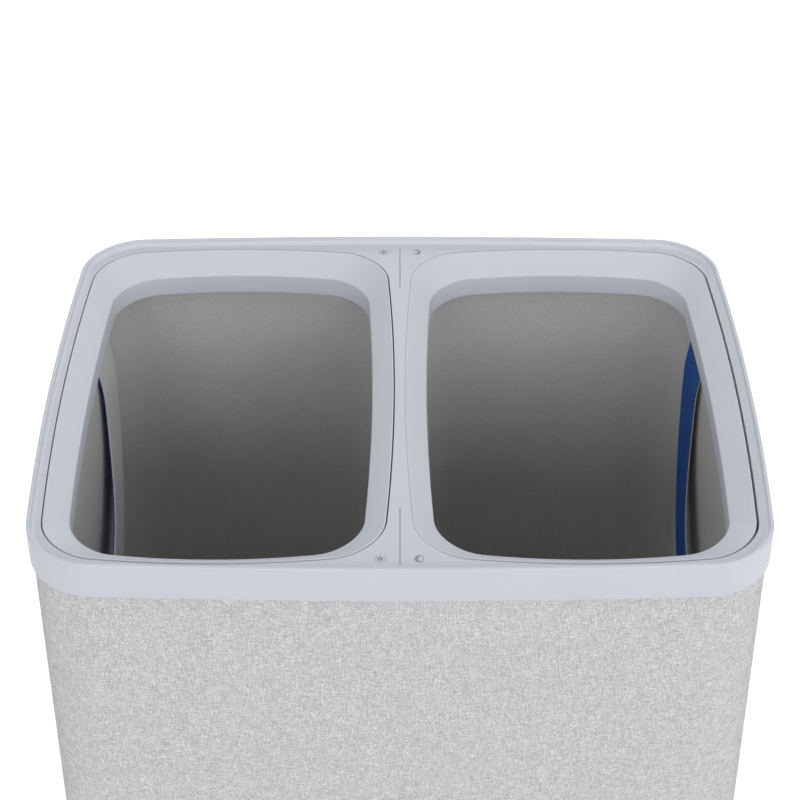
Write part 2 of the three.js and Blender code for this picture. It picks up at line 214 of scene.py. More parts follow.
# Plans: rounded rectangles, seen from above, whose four sides bow outwards
@dataclass(frozen=True)
class Plan:
    x: float
    half_x: float
    half_y: float
    radius: float
    bow_x: float
    bow_y: float

    def inset(self, sides, ends=None):
        ends = sides if ends is None else ends
        return replace(
            self,
            half_x=self.half_x - sides,
            half_y=self.half_y - ends,
            radius=max(self.radius - (sides + ends) / 2, 0.0001),
        )

    def outline(self, corner_steps=CORNER_STEPS, side_steps=SIDE_STEPS):
        """Points anticlockwise from the right-hand side."""
        flat_x = self.half_x - self.bow_x
        flat_y = self.half_y - self.bow_y
        turns = np.linspace(0, math.pi / 2, corner_steps + 1)
        arcs = []
        for corner, (sign_x, sign_y) in enumerate([(1, 1), (-1, 1), (-1, -1), (1, -1)]):
            angles = corner * math.pi / 2 + turns
            centre = (sign_x * (flat_x - self.radius), sign_y * (flat_y - self.radius))
            arcs.append(np.stack([np.cos(angles), np.sin(angles)], 1) * self.radius + centre)
        shares = np.arange(1, side_steps)[:, None] / side_steps
        ring = []
        for arc, following in zip(arcs, arcs[1:] + arcs[:1]):
            ring += [arc, arc[-1] + (following[0] - arc[-1]) * shares]
        x, y = np.concatenate(ring).T
        bowed_x = self.x + x * (1 + self.bow_x / flat_x * (1 - (y / self.half_y) ** 2))
        bowed_y = y * (1 + self.bow_y / flat_y * (1 - (x / self.half_x) ** 2))
        return np.stack([bowed_x, bowed_y], 1)


def plan_of_box(node, radius, bows):
    low, high = node_box(node)
    return Plan((low.x + high.x) / 2, (high.x - low.x) / 2, (high.y - low.y) / 2, radius, *bows)


RIM = plan_of_box("rim_frame", RIM_RADIUS, RIM_BOWS)


def plan_inside_rim(node):
    """The plan of a node that follows the rim's outline."""
    return plan_of_box(node, RIM_RADIUS - (RIM.half_x - node_box(node)[1].x), RIM_BOWS)


@lru_cache(None)
def aperture_plan(side):
    hem = plan_of_box(f"{side}_bag", RIM_RADIUS - APERTURE_INSET - HEM_SLACK, APERTURE_BOWS)
    return hem.inset(-HEM_SLACK)


def at_height(flat, z):
    return np.column_stack([flat, np.full(len(flat), z)])


def lengths_along(path):
    """How far each point of a path is from its start."""
    return np.concatenate([[0], np.cumsum(np.linalg.norm(np.diff(path, axis=0), axis=1))])


def circle(steps):
    angles = np.linspace(0, 2 * math.pi, steps, endpoint=False)
    return np.column_stack([np.cos(angles), np.sin(angles)])


def rotated(points, angle):
    cos, sin = math.cos(angle), math.sin(angle)
    return np.array(points) @ [[cos, sin], [-sin, cos]]


def round_corner(before, corner, after, radius, steps=ROUND_STEPS):
    """Points of an arc that rounds the corner of a section."""
    corner = np.array(corner, float)
    back = np.array(before, float) - corner
    ahead = np.array(after, float) - corner
    back /= np.linalg.norm(back)
    ahead /= np.linalg.norm(ahead)
    half_angle = math.acos(max(-1, min(1, float(back @ ahead)))) / 2
    middle = (back + ahead) / np.linalg.norm(back + ahead)
    centre = corner + middle * radius / math.sin(half_angle)
    start = corner + back * radius / math.tan(half_angle) - centre
    end = corner + ahead * radius / math.tan(half_angle) - centre
    turn = math.atan2(start[0] * end[1] - start[1] * end[0], float(start @ end))
    return [tuple(centre + rotated(start, a)) for a in np.linspace(0, turn, steps + 1)]


def rounded(section, radii, steps=ROUND_STEPS):
    """A section with its corners rounded. A radius of 0 keeps the corner."""
    points = []
    for i, (corner, radius) in enumerate(zip(section, radii)):
        if radius:
            points += round_corner(section[i - 1], corner, section[(i + 1) % len(section)], radius, steps)
        else:
            points.append(corner)
    return points


def smooth_step(values, low, high):
    share = np.clip((values - low) / (high - low), 0, 1)
    return share**2 * (3 - 2 * share)


# Meshes
def new_object(name, data):
    made = bpy.data.objects.new(name, data)
    bpy.context.scene.collection.objects.link(made)
    return made


class Shape:
    """Points and faces of one mesh. Rings are lists of point indexes."""

    def __init__(self):
        self.points = []
        self.faces = []
        self.cloth = []  # where each point is on its flat cloth
        self.girths = []  # how long the ring of cloth is that the point is on, or 0

    def add(self, points, cloth=None, girth=0):
        first = len(self.points)
        self.points += [tuple(float(v) for v in p) for p in points]
        self.cloth += [(0, 0, 0)] * len(points) if cloth is None else [tuple(c) for c in cloth]
        self.girths += [girth] * len(points)
        return list(range(first, len(self.points)))

    def cloth_ring(self, points, along):
        """A ring round a tube of cloth, whose seam is at the first point."""
        lengths = lengths_along(np.concatenate([points, points[:1]]))
        return self.add(points, [(length, along, 0) for length in lengths[:-1]], lengths[-1])

    def rings(self, plan, section):
        """A ring of the plan for each (inset, z) of a section."""
        return [self.add(at_height(plan.inset(distance).outline(), z)) for distance, z in section]

    def bridge(self, lower, upper):
        self.faces += zip(lower, lower[1:] + lower[:1], upper[1:] + upper[:1], upper)

    def loft(self, rings, looped=False):
        for lower, upper in zip(rings, rings[1:]):
            self.bridge(lower, upper)
        if looped:
            self.bridge(rings[-1], rings[0])

    def rod(self, rings):
        """Rings joined up and closed at both ends."""
        self.loft(rings)
        self.faces += [tuple(reversed(rings[0])), tuple(rings[-1])]

    def fill(self, outer, holes=(), up=True):
        """Flat faces between an outer ring and the rings of its holes."""
        loops = [outer, *holes]
        flat = [i for loop in loops for i in loop]
        lines = [[Vector(self.points[i]) for i in loop] for loop in loops]
        for corners in tessellate_polygon(lines):
            a, b, c = (np.array(self.points[flat[k]]) for k in corners)
            rising = np.cross(b - a, c - a)[2] > 0
            face = tuple(flat[k] for k in corners)
            self.faces.append(face if rising == up else face[::-1])

    def box(self, low, high):
        corners = [(low[0], low[1]), (high[0], low[1]), (high[0], high[1]), (low[0], high[1])]
        self.rod([self.add(at_height(corners, z)) for z in (low[2], high[2])])

    def turned(self, section, x, y, steps=TURN_STEPS):
        """A ring round the upright axis at x, y for each (radius, z) of a section."""
        return [self.add(at_height(circle(steps) * radius + (x, y), z)) for radius, z in section]

    def corner_places(self, face):
        """The places of a face's corners on the cloth. A face across the seam ends a girth further on."""
        places = np.array([self.cloth[p] for p in face], float)
        girths = np.array([self.girths[p] for p in face])
        behind = (girths > 0) & (places[:, 0].max() - places[:, 0] > girths / 2)
        places[behind, 0] += girths[behind]
        return places

    def build(self, name, material, sharp_angle=32, weld=False):
        mesh = bpy.data.meshes.new(name)
        mesh.from_pydata(self.points, [], self.faces)
        mesh.validate()
        if any(any(c) for c in self.cloth):
            corners = [self.corner_places(face.vertices) for face in mesh.polygons]
            place = mesh.attributes.new("cloth_place", "FLOAT_VECTOR", "CORNER")
            place.data.foreach_set("vector", np.concatenate(corners).astype(np.float32).ravel())
        if weld:
            joined = bmesh.new()
            joined.from_mesh(mesh)
            bmesh.ops.remove_doubles(joined, verts=joined.verts, dist=0.00001)
            joined.to_mesh(mesh)
            joined.free()
        mesh.shade_smooth()
        mesh.set_sharp_from_angle(angle=math.radians(sharp_angle))
        mesh.materials.append(material)
        return new_object(name, mesh)


def install(piece, body, slot, *nodes):
    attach(piece, body)
    if nodes:
        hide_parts(*nodes)


def stitch(shape, start, end, normal):
    """A short raised loop of thread from start to end."""
    along = end - start
    beside = np.cross(normal, along)
    beside /= np.linalg.norm(beside)
    rings = []
    for share, fullness in STITCH_SHARES:
        centre = start + along * share + normal * STITCH_HEIGHT * STITCH_LIFT_SHARE
        wide = beside * STITCH_WIDTH / 2 * fullness
        high = normal * STITCH_HEIGHT * fullness
        rings.append(shape.add([centre + wide * x + high * y for x, y in circle(6)]))
    shape.rod(rings)


def stitch_row(shape, path, normals, pitch):
    """Stitches along a path, each followed by the short stretch where the thread is under the cloth."""
    path, normals = np.array(path), np.array(normals, float)
    lengths = lengths_along(path)
    count = max(1, round(lengths[-1] / pitch))
    step = lengths[-1] / count

    def on_path(place, values):
        return np.array([np.interp(place, lengths, values[:, axis]) for axis in range(3)])

    for i in range(count):
        first, last = ((i + share) * step for share in STITCH_SPAN)
        stitch(shape, on_path(first, path), on_path(last, path), on_path(first, normals))


# Materials
class Graph:
    """The nodes of a material or world. Values may be numbers, colours or other nodes' outputs."""

    def __init__(self, name, owners=bpy.data.materials):
        self.owner = owners.new(name)
        self.owner.use_nodes = True
        self.tree = self.owner.node_tree
        self.shader = self.tree.nodes.get("Principled BSDF")

    def node(self, kind, inputs=None, **settings):
        made = self.tree.nodes.new("ShaderNode" + kind)
        for key, value in settings.items():
            setattr(made, key, value)
        for key, value in (inputs or {}).items():
            self.set(made.inputs[key], value)
        return made

    def set(self, socket, value):
        if isinstance(value, bpy.types.NodeSocket):
            self.tree.links.new(value, socket)
        else:
            socket.default_value = value

    def math(self, operation, *values):
        return self.node("Math", dict(enumerate(values)), operation=operation).outputs[0]

    def combine(self, x, y, z):
        return self.node("CombineXYZ", {"X": x, "Y": y, "Z": z}).outputs[0]

    def noise(self, place, scale, detail=2, roughness=0.5):
        inputs = {"Vector": place, "Scale": scale, "Detail": detail, "Roughness": roughness}
        return self.node("TexNoise", inputs).outputs["Fac"]

    def ramp(self, value, *stops):
        made = self.node("ValToRGB", {"Fac": value})
        elements = made.color_ramp.elements
        while len(elements) < len(stops):
            elements.new(0.5)
        for element, (place, color) in zip(elements, stops):
            element.position = place
            element.color = (*color, 1)
        return made.outputs["Color"]

    def mix(self, share, first, second):
        made = self.node("Mix", data_type="RGBA")
        sockets = [s for s in made.inputs if s.type == "RGBA"]
        self.set(made.inputs["Factor"], share)
        for socket, color in zip(sockets, (first, second)):
            self.set(socket, (*color, 1))
        return next(s for s in made.outputs if s.type == "RGBA")

    def toned(self, color, tone):
        """A colour times a tone of grey."""
        inputs = {0: color, 1: self.combine(tone, tone, tone)}
        return self.node("VectorMath", inputs, operation="MULTIPLY").outputs[0]

    def bump(self, height, distance):
        made = self.node("Bump", {"Height": height, "Distance": distance, "Strength": 1})
        self.tree.links.new(made.outputs["Normal"], self.shader.inputs["Normal"])

    def surface(self, **values):
        for key, value in values.items():
            socket = self.shader.inputs[key.replace("_", " ").title().replace("Ior", "IOR")]
            self.set(socket, (*value, 1) if isinstance(value, tuple) else value)
        return self.owner

    def seen(self):
        """1 for what the camera sees, also in reflections and through things, and 0 for light."""
        rays = self.node("LightPath").outputs
        nearly = self.math("MAXIMUM", rays["Is Camera Ray"], rays["Is Glossy Ray"])
        return self.math("MAXIMUM", nearly, rays["Is Transmission Ray"])


def shade(color, factor):
    return tuple(channel * factor for channel in color)


def moulded_plastic(name, color, roughness, grain=2600, grain_depth=0.000012):
    """Satin plastic with a fine spark-eroded grain and a slow drift of tone."""
    graph = Graph(name)
    place = graph.node("TexCoord").outputs["Object"]
    drift = graph.noise(place, 9)
    base = graph.mix(drift, shade(color, 0.975), shade(color, 1.025))
    grain_height = graph.noise(place, grain, detail=1)
    gloss = graph.noise(place, 40, detail=3)
    graph.bump(grain_height, grain_depth)
    span = 0.06
    varied = graph.math("MULTIPLY_ADD", gloss, span, roughness - span / 2)
    return graph.surface(base_color=base, roughness=varied, specular_ior_level=0.45)


def threads(graph, pitch, fleck, seed, wander=0.0):
    """A plain weave: which yarn shows at a place, that yarn's own fleck there, and the weave's height.

    wander is how many yarns the threads stray from straight lines.
    """
    cloth = graph.node("Attribute", attribute_name="cloth_place").outputs["Vector"]
    split = graph.node("SeparateXYZ", {"Vector": cloth})
    stray = graph.noise(cloth, 120)
    across = graph.math("MULTIPLY_ADD", stray, wander, graph.math("DIVIDE", split.outputs["X"], pitch))
    along = graph.math("MULTIPLY_ADD", stray, -wander, graph.math("DIVIDE", split.outputs["Y"], pitch))
    warp = graph.math("FLOOR", across)
    weft = graph.math("FLOOR", along)
    warp_on_top = graph.math("PINGPONG", graph.math("ADD", warp, weft), 1)
    step = 7.31  # in the noise, from one yarn to the next
    other_yarns = 31  # in the noise, from the warp to the weft

    def yarn_fleck(x, y, z):
        return graph.noise(graph.combine(x, y, z), 1, roughness=0.6)

    warp_fleck = yarn_fleck(graph.math("MULTIPLY", warp, step), graph.math("DIVIDE", along, fleck), seed)
    weft_fleck = yarn_fleck(
        graph.math("DIVIDE", across, fleck), graph.math("MULTIPLY", weft, step), seed + other_yarns
    )
    streak = graph.node(
        "Mix", {"Factor": warp_on_top, "A": weft_fleck, "B": warp_fleck}, data_type="FLOAT"
    ).outputs[0]
    speck = graph.node(
        "TexWhiteNoise", {"Vector": graph.combine(warp, weft, seed)}, noise_dimensions="3D"
    ).outputs["Value"]
    warp_round, weft_round = (
        graph.math("SINE", graph.math("MULTIPLY", graph.math("FRACT", place), math.pi))
        for place in (across, along)
    )
    return cloth, streak, speck, graph.math("MULTIPLY", weft_round, warp_round)


def woven(name, color, pitch, fleck, contrast, relief,
          speckle=0.1, pore_shade=0.2, wander=0.0, patchy=0.08, seed=3):
    """Plain-woven cloth whose yarns carry light and dark flecks, with painted shade in the hollows between
    the yarns.
    """
    graph = Graph(name)
    cloth, streak, speck, height = threads(graph, pitch, fleck, seed, wander)
    flecked = graph.ramp(
        streak, (0.3, shade(color, 1 - contrast)), (0.5, color), (0.7, shade(color, 1 + contrast))
    )
    # Painted shade: the weave is darkened where it is low, in the hollows between its yarns.
    shadow = graph.math("MULTIPLY_ADD", height, pore_shade, 1 - pore_shade * 0.6)
    speckled = graph.math("MULTIPLY_ADD", speck, speckle, 1 - speckle / 2)
    patches = graph.math("MULTIPLY_ADD", graph.noise(cloth, 22, detail=3), patchy, 1 - patchy / 2)
    tone = graph.math("MULTIPLY", graph.math("MULTIPLY", shadow, speckled), patches)
    base = graph.toned(flecked, tone)
    graph.bump(height, relief)
    return graph.surface(
        base_color=base, roughness=0.92, specular_ior_level=0.2, sheen_weight=0.15, sheen_roughness=0.5
    )


def webbing(name, blue, pale):
    """Ribbed webbing with a pale tape on one face. The cloth's third place is positive on that face."""
    graph = Graph(name)
    cloth, streak, speck, height = threads(graph, pitch=0.0011, fleck=3, seed=5)
    split = graph.node("SeparateXYZ", {"Vector": cloth})
    two_tone = graph.mix(graph.math("GREATER_THAN", split.outputs["Z"], 0), blue, pale)
    yarn_tone = graph.math("MULTIPLY_ADD", streak, 0.3, 0.85)
    # Painted shade: the webbing is darker where its weave is low, between the yarns.
    tone = graph.math("MULTIPLY", yarn_tone, graph.math("MULTIPLY_ADD", height, 0.25, 0.84))
    base = graph.toned(two_tone, tone)
    graph.bump(height, 0.0003)
    return graph.surface(base_color=base, roughness=0.8, specular_ior_level=0.25)


def metal(name, color, roughness):
    graph = Graph(name)
    turning = graph.noise(graph.node("TexCoord").outputs["Object"], 900)
    base = graph.mix(turning, shade(color, 0.9), color)
    gloss = graph.math("MULTIPLY_ADD", turning, 0.15, roughness)
    return graph.surface(base_color=base, roughness=gloss, metallic=1.0)


rim_plastic = moulded_plastic("rim_plastic", (0.615, 0.645, 0.705), 0.42)
print_ink = moulded_plastic("print_ink", (0.30, 0.33, 0.38), 0.55)
cover_cloth = woven(
    "cover_cloth", (0.762, 0.760, 0.778), pitch=0.0009, fleck=8, contrast=0.30, relief=0.0003,
    speckle=0.32, pore_shade=0.3, wander=0.35, patchy=0.05,
)
bag_cloth = woven(
    "bag_cloth", (0.64, 0.635, 0.63), pitch=0.0005, fleck=8, contrast=0.10, relief=0.00012, seed=11
)
seam_thread = moulded_plastic("seam_thread", (0.52, 0.52, 0.51), 0.8, grain=3000, grain_depth=0.00004)
shell_board = moulded_plastic("shell_board", (0.68, 0.67, 0.64), 0.6, grain=700, grain_depth=0.00004)
board_plastic = moulded_plastic("board_plastic", (0.45, 0.45, 0.44), 0.7, grain=900, grain_depth=0.00005)
hoop_plastic = moulded_plastic("hoop_plastic", (0.75, 0.75, 0.74), 0.5)
tray_plastic = moulded_plastic("tray_plastic", (0.37, 0.39, 0.42), 0.5)
foot_rubber = moulded_plastic("foot_rubber", (0.09, 0.10, 0.11), 0.85, grain=1500, grain_depth=0.00005)
screw_steel = metal("screw_steel", (0.62, 0.63, 0.65), 0.28)
handle_webbing = webbing("handle_webbing", (0.022, 0.105, 0.40), (0.74, 0.74, 0.73))


# Rim: band, lip and land in one moulding, with a sleeve and a ledge at each aperture
def mark_loop(shape, end):
    """The sides and floor of an engraved line. Gives its outline on the land."""
    outer = end * (RIM.half_y - MARK_INSET)
    inner = end * (RIM.half_y - MARK_INSET - MARK_LENGTH)
    half = MARK_WIDTH / 2
    corners = [(-half, outer), (half, outer), (half, inner), (-half, inner)]
    top = shape.add(at_height(corners, LAND))
    floor = shape.add(at_height(corners, LAND - MARK_DEPTH))
    shape.bridge(*(top, floor)[::end])
    shape.fill(floor)
    return top


def make_rim():
    shape = Shape()
    bottom = LIP_TOP - BAND_HEIGHT
    outer_section = rounded(
        [(LIP_WIDTH + LAND_FILLET + SUPPORT, LAND), (LIP_WIDTH, LAND), (LIP_WIDTH, LIP_TOP), (0, LIP_TOP),
         (0, bottom), (BAND_WALL, bottom), (BAND_WALL, DECK_UNDERSIDE)],
        [0, LAND_FILLET, LIP_ROUND, LIP_ROUND, BAND_EDGE, BAND_EDGE, 0],
    )
    sleeve_section = rounded(
        [(-APERTURE_EDGE - SUPPORT, LAND), (0, LAND), (0, LEDGE_TOP), (LEDGE_WIDTH, LEDGE_TOP),
         (LEDGE_WIDTH, LEDGE_UNDERSIDE), (0, LEDGE_UNDERSIDE), (0, SLEEVE_BOTTOM),
         (-SLEEVE_WALL, SLEEVE_BOTTOM), (-SLEEVE_WALL, DECK_UNDERSIDE)],
        [0, APERTURE_EDGE, 0, LEDGE_EDGE, 0, 0, 0, 0, 0],
    )
    outer_rings = shape.rings(RIM, outer_section)
    sleeves = [shape.rings(aperture_plan(side), sleeve_section) for side in SIDES]
    for rings in (outer_rings, *sleeves):
        shape.loft(rings[::-1])
    marks = [mark_loop(shape, end) for end in (-1, 1)]
    shape.fill(outer_rings[0], [rings[0] for rings in sleeves] + marks)
    shape.fill(outer_rings[-1], [rings[-1] for rings in sleeves], up=False)
    spacing = 2 * RIM.half_y / (DIVIDER_RIBS + 1)
    half_x = DIVIDER_HALF - SLEEVE_WALL / 2
    for rib in range(DIVIDER_RIBS):
        y = (rib + 1) * spacing - RIM.half_y
        low = (-half_x, y - DIVIDER_RIB / 2, LEDGE_UNDERSIDE)
        shape.box(low, (half_x, y + DIVIDER_RIB / 2, DECK_UNDERSIDE + SLEEVE_WALL / 2))
    install(shape.build("rim_moulding", rim_plastic), "root", "rim_plastic", "rim_frame")


# Pictures printed on the land beside the engraved lines: a plain sun and a plain moon
def raise_print(shape, outline):
    """A flat print of this outline on the land."""
    top = shape.add(at_height(outline, LAND + PRINT_THICKNESS))
    base = shape.add(at_height(outline, LAND))
    shape.bridge(base, top)
    shape.fill(top)


def sun_shape(shape, centre, turn):
    core = PRINT_SIZE * 0.48
    ray_inner = PRINT_SIZE * 0.68
    ray_half = PRINT_SIZE * 0.085
    rays = 8
    raise_print(shape, centre + circle(32) * core)
    for ahead in rotated(circle(rays), turn):
        beside = np.array([-ahead[1], ahead[0]]) * ray_half
        near, far = centre + ahead * ray_inner, centre + ahead * PRINT_SIZE
        raise_print(shape, [near - beside, far - beside, far + beside, near + beside])


def moon_shape(shape, centre, turn):
    """A crescent: a disc less a smaller one that is shifted towards one side."""
    radius = PRINT_SIZE * 0.85
    hollow = radius * 0.78
    shift = radius * 0.52
    steps = 22
    reach = math.acos((radius**2 + shift**2 - hollow**2) / (2 * radius * shift))
    bite = math.acos((hollow**2 + shift**2 - radius**2) / (2 * hollow * shift))
    outer = [reach + (2 * math.pi - 2 * reach) * i / steps for i in range(steps + 1)]
    inner = [math.pi + bite - 2 * bite * i / steps for i in range(1, steps)]
    points = [(radius * math.cos(a), radius * math.sin(a)) for a in outer]
    points += [(shift + hollow * math.cos(a), -hollow * math.sin(math.pi - a)) for a in inner]
    raise_print(shape, centre + rotated(points, turn))


def make_prints():
    for end_name, end in (("front", -1), ("back", 1)):
        turn = 0 if end < 0 else math.pi
        for side, draw, name in ((-1, sun_shape, "sun"), (1, moon_shape, "moon")):
            shape = Shape()
            draw(shape, np.array([side * PRINT_OFFSET, end * (RIM.half_y - PRINT_INSET)]), turn)
            install(shape.build(f"{name}_print_{end_name}", print_ink), "root", "rim_plastic")


# Bag frames
def make_bag_frame(side):
    outer = plan_of_box(f"{side}_bag_frame", RIM_RADIUS - APERTURE_INSET - FRAME_GAP, APERTURE_BOWS)
    if side == "right":
        outer = replace(outer, x=outer.x - FRAME_SETTLE)
    seat = node_box(f"{side}_bag")[1].z + CLEARANCE
    to_divider = math.copysign((SLOPE_RUN_SIDE - SLOPE_RUN_DIVIDER) / 2, -outer.x)
    mouth = replace(
        outer.inset((SLOPE_RUN_SIDE + SLOPE_RUN_DIVIDER) / 2, SLOPE_RUN_END),
        x=outer.x + to_divider,
        radius=MOUTH_RADIUS,
        bow_x=MOUTH_SIDE_BOW,
    )
    nose_z = LAND - SLOPE_DROP
    nose, tip = (0, nose_z), (SKIRT_DRAFT, nose_z - SKIRT_HEIGHT)
    tip_back = (SKIRT_DRAFT - FRAME_WALL, tip[1])
    outer_part = rounded(
        [(0, seat), (0, LAND), (FRAME_FLAT, LAND), (SLOPE_RUN_SIDE, nose_z)], [0, FRAME_EDGE, FRAME_EDGE, 0]
    )[:-1]
    mouth_part = rounded(
        [(-SLOPE_RUN_SIDE, LAND), nose, tip, tip_back, (-FRAME_WALL, nose_z)],
        [0, NOSE_ROUND, FRAME_TIP_ROUND, FRAME_TIP_ROUND, 0],
    )[1:-1]
    mouth_part.append((-FRAME_WALL, nose_z - FRAME_WALL))
    back_part = [(FRAME_WALL, LAND - FRAME_WALL - FRAME_EDGE), (FRAME_WALL, seat)]
    lead_in, lead_down = SUPPORT * math.cos(SLOPE_ANGLE), SUPPORT * math.sin(SLOPE_ANGLE)
    slope_start, slope_end = outer_part[-1], mouth_part[0]
    outer_part.append((slope_start[0] + lead_in, slope_start[1] - lead_down))
    mouth_part.insert(0, (slope_end[0] - lead_in, slope_end[1] + lead_down))
    shape = Shape()
    parts = ((outer, outer_part), (mouth, mouth_part), (outer, back_part))
    shape.loft([ring for plan, part in parts for ring in shape.rings(plan, part)], looped=True)
    piece = shape.build(f"{side}_frame_moulding", rim_plastic)
    install(piece, f"{side}_frame", "rim_plastic", f"{side}_bag_frame")


# Wall: the stiff shell, and the cloth stretched over it
def make_shell():
    low, high = node_box("wall_shell")
    shape = Shape()
    section = rounded(
        [(0, low.z), (0, high.z), (SHELL_THICKNESS, high.z), (SHELL_THICKNESS, low.z)], [SHELL_EDGE] * 4
    )
    shape.loft(shape.rings(plan_inside_rim("wall_shell"), section), looped=True)
    install(shape.build("wall_shell_board", shell_board), "root", "shell_board", "wall_shell")


def cover_ring(distance=0):
    """The cover's outline, begun at the middle of the back, where the cloth's seam is."""
    flat = plan_inside_rim("fabric_cover").inset(distance).outline()
    back = np.argmin(np.where(flat[:, 1] > 0, np.abs(flat[:, 0]), np.inf))
    return np.roll(flat, -back, axis=0)


def make_cover():
    low, high = node_box("fabric_cover")
    plain = 0.02  # the wall's rows of points begin this far from its ends
    rows = 12
    section = [
        (COVER_TURN_IN, low.z),
        *round_corner((COVER_TURN_IN, low.z), (0, low.z), (0, high.z), COVER_EDGE),
        *[(0, z) for z in np.linspace(low.z + plain, high.z - plain, rows)],
        (0, high.z),
        (COVER_THICKNESS, high.z),
        (COVER_THICKNESS, low.z + COVER_EDGE),
        (COVER_EDGE, low.z + COVER_THICKNESS),
        (COVER_TURN_IN, low.z + COVER_THICKNESS),
    ]
    shape = Shape()
    shape.loft([
        shape.cloth_ring(at_height(cover_ring(distance), z), place)
        for (distance, z), place in zip(section, lengths_along(section))
    ], looped=True)
    install(shape.build("cover", cover_cloth), "root", "cover_cloth", "fabric_cover")


def make_cover_seam():
    """The lapped seam down the middle of the back, with its two rows of stitches."""
    bottom = node_box("fabric_cover")[0].z + COVER_EDGE * 2
    top = LIP_TOP - BAND_HEIGHT - 0.0002
    other_cloth = 0.3  # how far the lap is from the wall behind it, on the cloth
    across = np.linspace(-SEAM_WIDTH / 2, SEAM_WIDTH / 2, 7)
    flat = cover_ring()
    near_seam = flat[(flat[:, 1] > 0) & (abs(flat[:, 0]) < 0.05)]
    back_y = np.interp(across, *near_seam[np.argsort(near_seam[:, 0])].T)
    rise = np.array([SEAM_EDGE / 2, *[SEAM_THICKNESS] * 5, SEAM_EDGE / 2])
    ring = [*zip(across, back_y + rise), *zip(across[::-1], back_y[::-1] - SEAM_EDGE / 2)]
    shape = Shape()
    shape.rod([
        shape.add([(x, y, z) for x, y in ring], [(x + other_cloth, z, 0) for x, y in ring])
        for z in (top, bottom)
    ])
    install(shape.build("cover_seam", cover_cloth), "root", "cover_cloth")
    shape = Shape()
    for x, y in zip(across[[1, -2]], back_y[[1, -2]] + SEAM_THICKNESS):
        stitch_row(shape, [(x, y, bottom + 0.002), (x, y, top - 0.001)], [(0, 1, 0)] * 2, COVER_STITCH)
    install(shape.build("cover_seam_stitches", seam_thread, sharp_angle=80), "root", "cover_cloth")


# Bags
def bag_section(side):
    """The bag's middle line from the hem's outer lower edge, over the hoop and down to the bottom panel."""
    low, high = node_box(f"{side}_bag")
    half = BAG_THICKNESS / 2
    top = high.z - half
    wall = BAG_INSET + half
    outer = HEM_SLACK + half
    foot = low.z + half
    hem_foot = node_box(f"{side}_bag_hoop")[0].z
    corners = [(outer, hem_foot), (outer, top), (wall, top), (wall, foot)]
    return rounded(corners, [0, HEM_FOLD, HEM_FOLD, 0], steps=3)[:-1], corners[-1]


class Wall:
    """A bag's side wall as a grid of points: rows from the hem down, columns round the bag."""

    def __init__(self, grid):
        self.grid = grid
        self.rows, self.columns = grid.shape[:2]

    def at(self, row, column):
        r = min(max(int(row), 0), self.rows - 2)
        c = math.floor(column)
        down, beside = row - r, column - c
        c, d = c % self.columns, (c + 1) % self.columns
        upper = self.grid[r, c] * (1 - beside) + self.grid[r, d] * beside
        lower = self.grid[r + 1, c] * (1 - beside) + self.grid[r + 1, d] * beside
        return upper * (1 - down) + lower * down

    def normal(self, row, column):
        """Out of the bag."""
        step = 0.3
        round_it = self.at(row, column + step) - self.at(row, column - step)
        down = self.at(row + step, column) - self.at(row - step, column)
        out = np.cross(down, round_it)
        return out / np.linalg.norm(out)

    def off(self, row, column, distance):
        return self.at(row, column) + self.normal(row, column) * distance


def outwards(grid):
    """The level direction out of the bag at each point."""
    outward = np.cross(np.roll(grid, -1, axis=1) - np.roll(grid, 1, axis=1), [0, 0, 1])
    return outward / np.linalg.norm(outward, axis=2, keepdims=True)


def uneven_grid(grid):
    """The same grid with smooth unevenness, so that the cloth begins to fold somewhere."""
    rows, columns = grid.shape[:2]
    uneven = np.random.default_rng(7).normal(0, 1, (rows, columns))
    for axis, passes in enumerate(UNEVEN_PASSES):
        for _ in range(passes):
            uneven = uneven / 2 + (np.roll(uneven, 1, axis) + np.roll(uneven, -1, axis)) / 4
    uneven *= UNEVENNESS / uneven.std() * np.sin(np.linspace(0, math.pi, rows))[:, None]
    return grid + outwards(grid) * uneven[:, :, None]


def slack(grid):
    """How far each point of a bag's wall moves when its cloth hangs a little loose."""
    rows, columns = grid.shape[:2]
    shape = Shape()
    shape.loft([shape.add(ring) for ring in uneven_grid(grid)])
    mesh = bpy.data.meshes.new("hanging_cloth")
    mesh.from_pydata(shape.points, [], shape.faces)
    cloth = new_object("hanging_cloth", mesh)
    cloth.shape_key_add(name="hung")
    cut = cloth.shape_key_add(name="cut")
    top = grid[0].mean(axis=0)
    cut.data.foreach_set("co", ((grid - top) * CLOTH_CUT + top).astype(np.float32).ravel())
    held = cloth.vertex_groups.new(name="held")
    held.add([*range(columns * 2), *range((rows - 2) * columns, rows * columns)], 1, "REPLACE")
    settings = cloth.modifiers.new("cloth", "CLOTH").settings
    for key, value in CLOTH_SETTINGS.items():
        setattr(settings, key, value)
    settings.rest_shape_key = cut
    settings.vertex_group_mass = "held"
    scene = bpy.context.scene
    for frame_number in range(1, CLOTH_FRAMES + 1):
        scene.frame_set(frame_number)
    hung = cloth.evaluated_get(bpy.context.evaluated_depsgraph_get()).data
    points = np.empty(rows * columns * 3, np.float32)
    hung.vertices.foreach_get("co", points)
    moved = points.reshape(grid.shape) - grid
    bpy.data.objects.remove(cloth)
    bpy.data.meshes.remove(mesh)
    scene.frame_set(1)
    return moved


